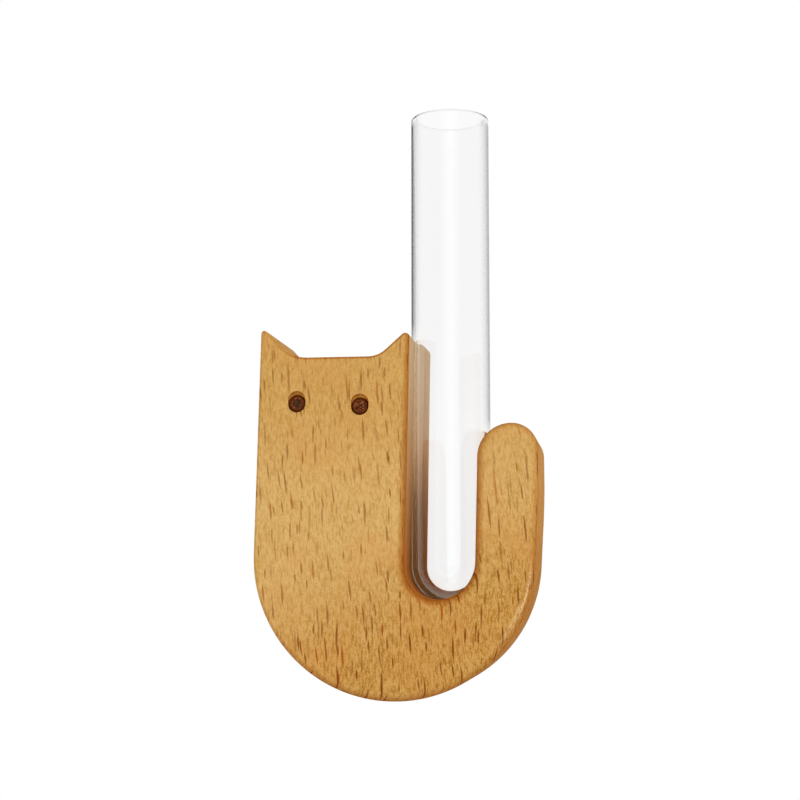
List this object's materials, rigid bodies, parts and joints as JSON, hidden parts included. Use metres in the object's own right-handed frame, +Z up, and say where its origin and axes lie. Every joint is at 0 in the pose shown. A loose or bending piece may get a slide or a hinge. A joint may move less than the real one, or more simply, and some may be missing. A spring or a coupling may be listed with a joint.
{
  "type": "test tube vase",
  "caption": "Hanging bud vase: a wooden holder cut as a sitting cat, with a glass test tube standing between body and tail and disc magnets in its flat back.",
  "frame": {"origin": "on the flat back, midway between the two magnets and in line with the middle of the head", "axes": "+X to the right seen from the front, +Y out of the back towards the surface it hangs on, +Z up along the tube"},
  "size_m": [0.0559, 0.027, 0.1183],
  "materials": {
    "beech": "sanded and oiled",
    "dark_wood": "end grain, oiled",
    "nickel": "bright nickel plate",
    "clear_glass": "clear, fire-polished rim"
  },
  "bodies": {
    "holder": {"wooden_body": "beech", "left_eye": "dark_wood", "right_eye": "dark_wood", "upper_magnet": "nickel", "lower_magnet": "nickel"},
    "tube": {"glass_tube": "clear_glass"}
  },
  "joints": [
    {"name": "tube_lift", "type": "slide", "parent": "holder", "child": "tube", "axis": [0, 0, 1], "range_m": [0, 0.06]}
  ]
}
